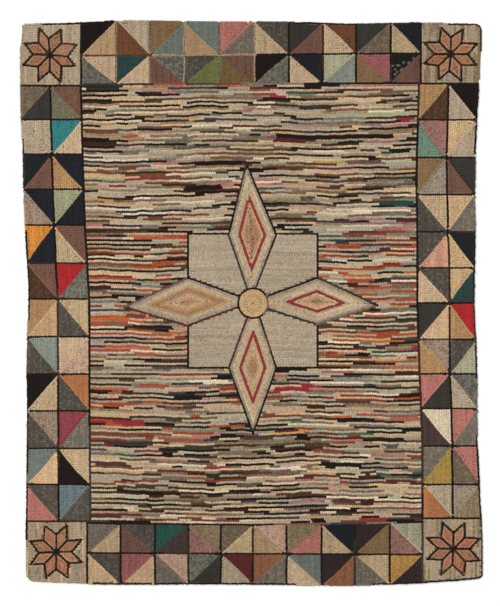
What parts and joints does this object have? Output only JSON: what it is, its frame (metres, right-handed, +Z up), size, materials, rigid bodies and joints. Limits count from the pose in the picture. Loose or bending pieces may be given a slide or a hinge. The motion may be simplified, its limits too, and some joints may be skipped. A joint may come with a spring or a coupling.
{
  "type": "hooked rug",
  "caption": "Flat rectangular hooked rug of wool loops: striped hit-or-miss field, pieced triangle border, eight-pointed corner stars and a diamond medallion.",
  "frame": {"origin": "on the floor, under the centre of the box around the rug's outline", "axes": "+Y along the rug's length to the end at the top of the picture, +X across it to the picture's right, +Z up out of the pile"},
  "size_m": [1.372, 1.6759, 0.0088],
  "materials": {
    "wool_pile": "matt looped wool in many dyes",
    "burlap_foundation": "plain-woven jute cloth"
  },
  "bodies": {
    "root": {"hooked_rug": "wool_pile"}
  },
  "joints": []
}
